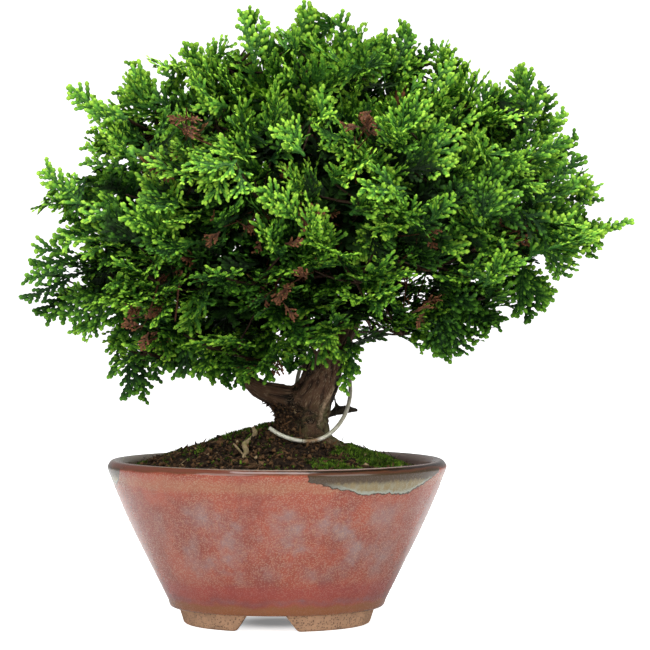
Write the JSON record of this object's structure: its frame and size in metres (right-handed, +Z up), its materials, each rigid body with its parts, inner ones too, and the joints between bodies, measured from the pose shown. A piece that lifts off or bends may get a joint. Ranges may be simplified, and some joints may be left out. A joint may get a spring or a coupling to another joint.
{
  "type": "hinoki cypress bonsai",
  "caption": "Hinoki cypress bonsai with a leaning, forked trunk and a broad crown of flat scale-leaf pads, in a round, conical glazed pot on a cut foot ring.",
  "frame": {"origin": "under the middle of the tree's bounding box, at the plane the pot's feet stand on; the pot's own axis is at x = -0.0220 m, y = -0.0024 m", "axes": "+Z up, +X to the viewer's right, +Y away from the viewer; the trunk leans towards +X and the low limb grows towards -X"},
  "size_m": [0.2622, 0.192, 0.276],
  "materials": {
    "glazed_stoneware": "glossy salmon-red glaze with paler mottling over brown stoneware; the feet are bare",
    "earth": "crumbly damp soil",
    "moss": "short velvety moss",
    "bark": "fibrous, furrowed bark",
    "pale_root": "weathered root",
    "scale_leaf": "flat sprays of glossy scale leaves, lighter at the tips",
    "wire": "dull, weathered wire",
    "plastic_mesh": "dark plastic"
  },
  "bodies": {
    "root": {"drain_mesh": "plastic_mesh", "foliage_apex": "scale_leaf", "foliage_back": "scale_leaf", "foliage_back_left": "scale_leaf", "foliage_back_right": "scale_leaf", "foliage_front_left": "scale_leaf", "foliage_front_right": "scale_leaf", "foliage_high_back": "scale_leaf", "foliage_high_back_left": "scale_leaf", "foliage_high_back_right": "scale_leaf", "foliage_high_front": "scale_leaf", "foliage_high_left": "scale_leaf", "foliage_high_left_front": "scale_leaf", "foliage_high_right": "scale_leaf", "foliage_high_right_front": "scale_leaf", "foliage_left_front": "scale_leaf", "foliage_left_tip": "scale_leaf", "foliage_low_back_left": "scale_leaf", "foliage_low_back_right": "scale_leaf", "foliage_low_front": "scale_leaf", "foliage_low_left": "scale_leaf", "foliage_low_left_tip": "scale_leaf", "foliage_low_right": "scale_leaf", "foliage_low_right_tip": "scale_leaf", "foliage_mid_back": "scale_leaf", "foliage_mid_back_left": "scale_leaf", "foliage_mid_back_right": "scale_leaf", "foliage_mid_front_left": "scale_leaf", "foliage_mid_front_right": "scale_leaf", "foliage_mid_left": "scale_leaf", "foliage_mid_left_front": "scale_leaf", "foliage_mid_right": "scale_leaf", "foliage_mid_right_front": "scale_leaf", "foliage_right_front": "scale_leaf", "foliage_right_tip": "scale_leaf", "foliage_top_back": "scale_leaf", "foliage_top_front": "scale_leaf", "foliage_top_left": "scale_leaf", "foliage_top_right": "scale_leaf", "mesh_staple": "wire", "moss_back": "moss", "moss_front": "moss", "moss_left_back": "moss", "moss_ridge": "moss", "moss_right": "moss", "moss_right_back": "moss", "pot": "glazed_stoneware", "soil": "earth", "surface_root": "pale_root", "training_wire": "wire", "trunk": "bark"}
  },
  "joints": []
}
